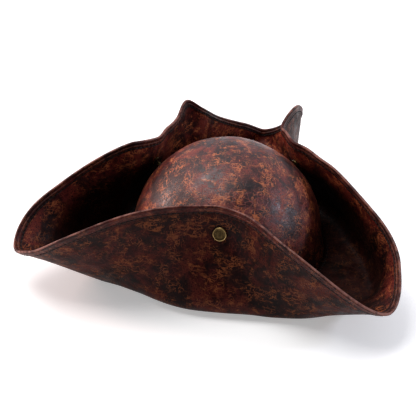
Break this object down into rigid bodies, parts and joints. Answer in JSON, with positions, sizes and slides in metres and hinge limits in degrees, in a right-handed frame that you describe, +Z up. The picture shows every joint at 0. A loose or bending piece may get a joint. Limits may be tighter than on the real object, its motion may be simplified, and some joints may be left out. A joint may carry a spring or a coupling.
{
  "type": "pirate hat",
  "caption": "Three-cornered hat: domed leather crown in a wide brim folded up into three flaps, each pinned to the crown by a brass rivet, with a sewn edge binding.",
  "frame": {"origin": "centre of the head opening, on the plane that the hat stands on", "axes": "+Z up through the crown, -Y towards the front flap, +X towards the hat's left-hand side"},
  "size_m": [0.3652, 0.3772, 0.1135],
  "materials": {
    "brown_leather": "distressed, satin, crackled",
    "edge_leather": "worn satin",
    "band_leather": "smooth satin",
    "lining_cloth": "matte weave",
    "stiffener_felt": "matte felt",
    "thread": "waxed thread",
    "antique_brass": "aged satin"
  },
  "bodies": {
    "root": {"crown_shell": "brown_leather", "crown_lining": "lining_cloth", "sweatband": "band_leather", "sweatband_thread": "thread", "brim_under_ply": "brown_leather", "brim_stiffener": "stiffener_felt", "brim_top_ply": "brown_leather", "edge_binding": "edge_leather", "edge_thread_outer": "thread", "edge_thread_inner": "thread", "crown_seam_thread": "thread", "front_rivet_cap": "antique_brass", "front_rivet_shank": "antique_brass", "front_rivet_washer": "antique_brass", "front_rivet_back_cap": "antique_brass", "right_rivet_cap": "antique_brass", "right_rivet_shank": "antique_brass", "right_rivet_washer": "antique_brass", "right_rivet_back_cap": "antique_brass", "left_rivet_cap": "antique_brass", "left_rivet_shank": "antique_brass", "left_rivet_washer": "antique_brass", "left_rivet_back_cap": "antique_brass"}
  },
  "joints": []
}
